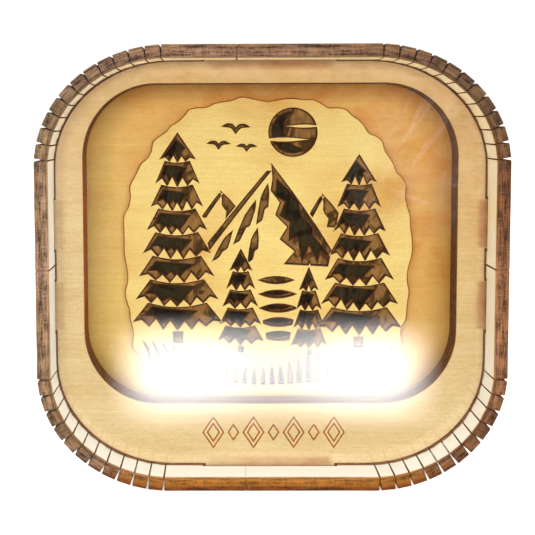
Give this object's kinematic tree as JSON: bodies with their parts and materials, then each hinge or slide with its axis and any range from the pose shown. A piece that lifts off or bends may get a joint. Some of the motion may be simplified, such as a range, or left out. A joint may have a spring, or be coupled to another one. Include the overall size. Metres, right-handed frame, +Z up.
{
  "type": "shadow box",
  "caption": "Laser-cut plywood shadow box with a kerf-bent rounded wall, a clear pane, a window panel and a layered forest picture behind it.",
  "frame": {"origin": "middle of the base, on the surface the box stands on", "axes": "+Z up; the front with the window faces -Y; +X to the viewer's right"},
  "size_m": [0.137, 0.046, 0.1302],
  "materials": {
    "wall_birch": "bare plywood with burnt edges",
    "clear_acrylic": "clear, polished",
    "panel_birch": "bare plywood with burnt edges",
    "picture_birch": "bare plywood with burnt edges",
    "brown_stain": "brown wood stain",
    "dark_stain": "dark wood stain",
    "back_birch": "oiled plywood"
  },
  "bodies": {
    "root": {"wall_top_left": "wall_birch", "wall_top_right": "wall_birch", "wall_bottom_left": "wall_birch", "wall_bottom_right": "wall_birch", "clear_pane": "clear_acrylic", "front_panel": "panel_birch", "spacer_frame": "panel_birch", "picture_front": "picture_birch", "picture_middle": "brown_stain", "picture_ground": "dark_stain", "back_panel": "back_birch"}
  },
  "joints": []
}
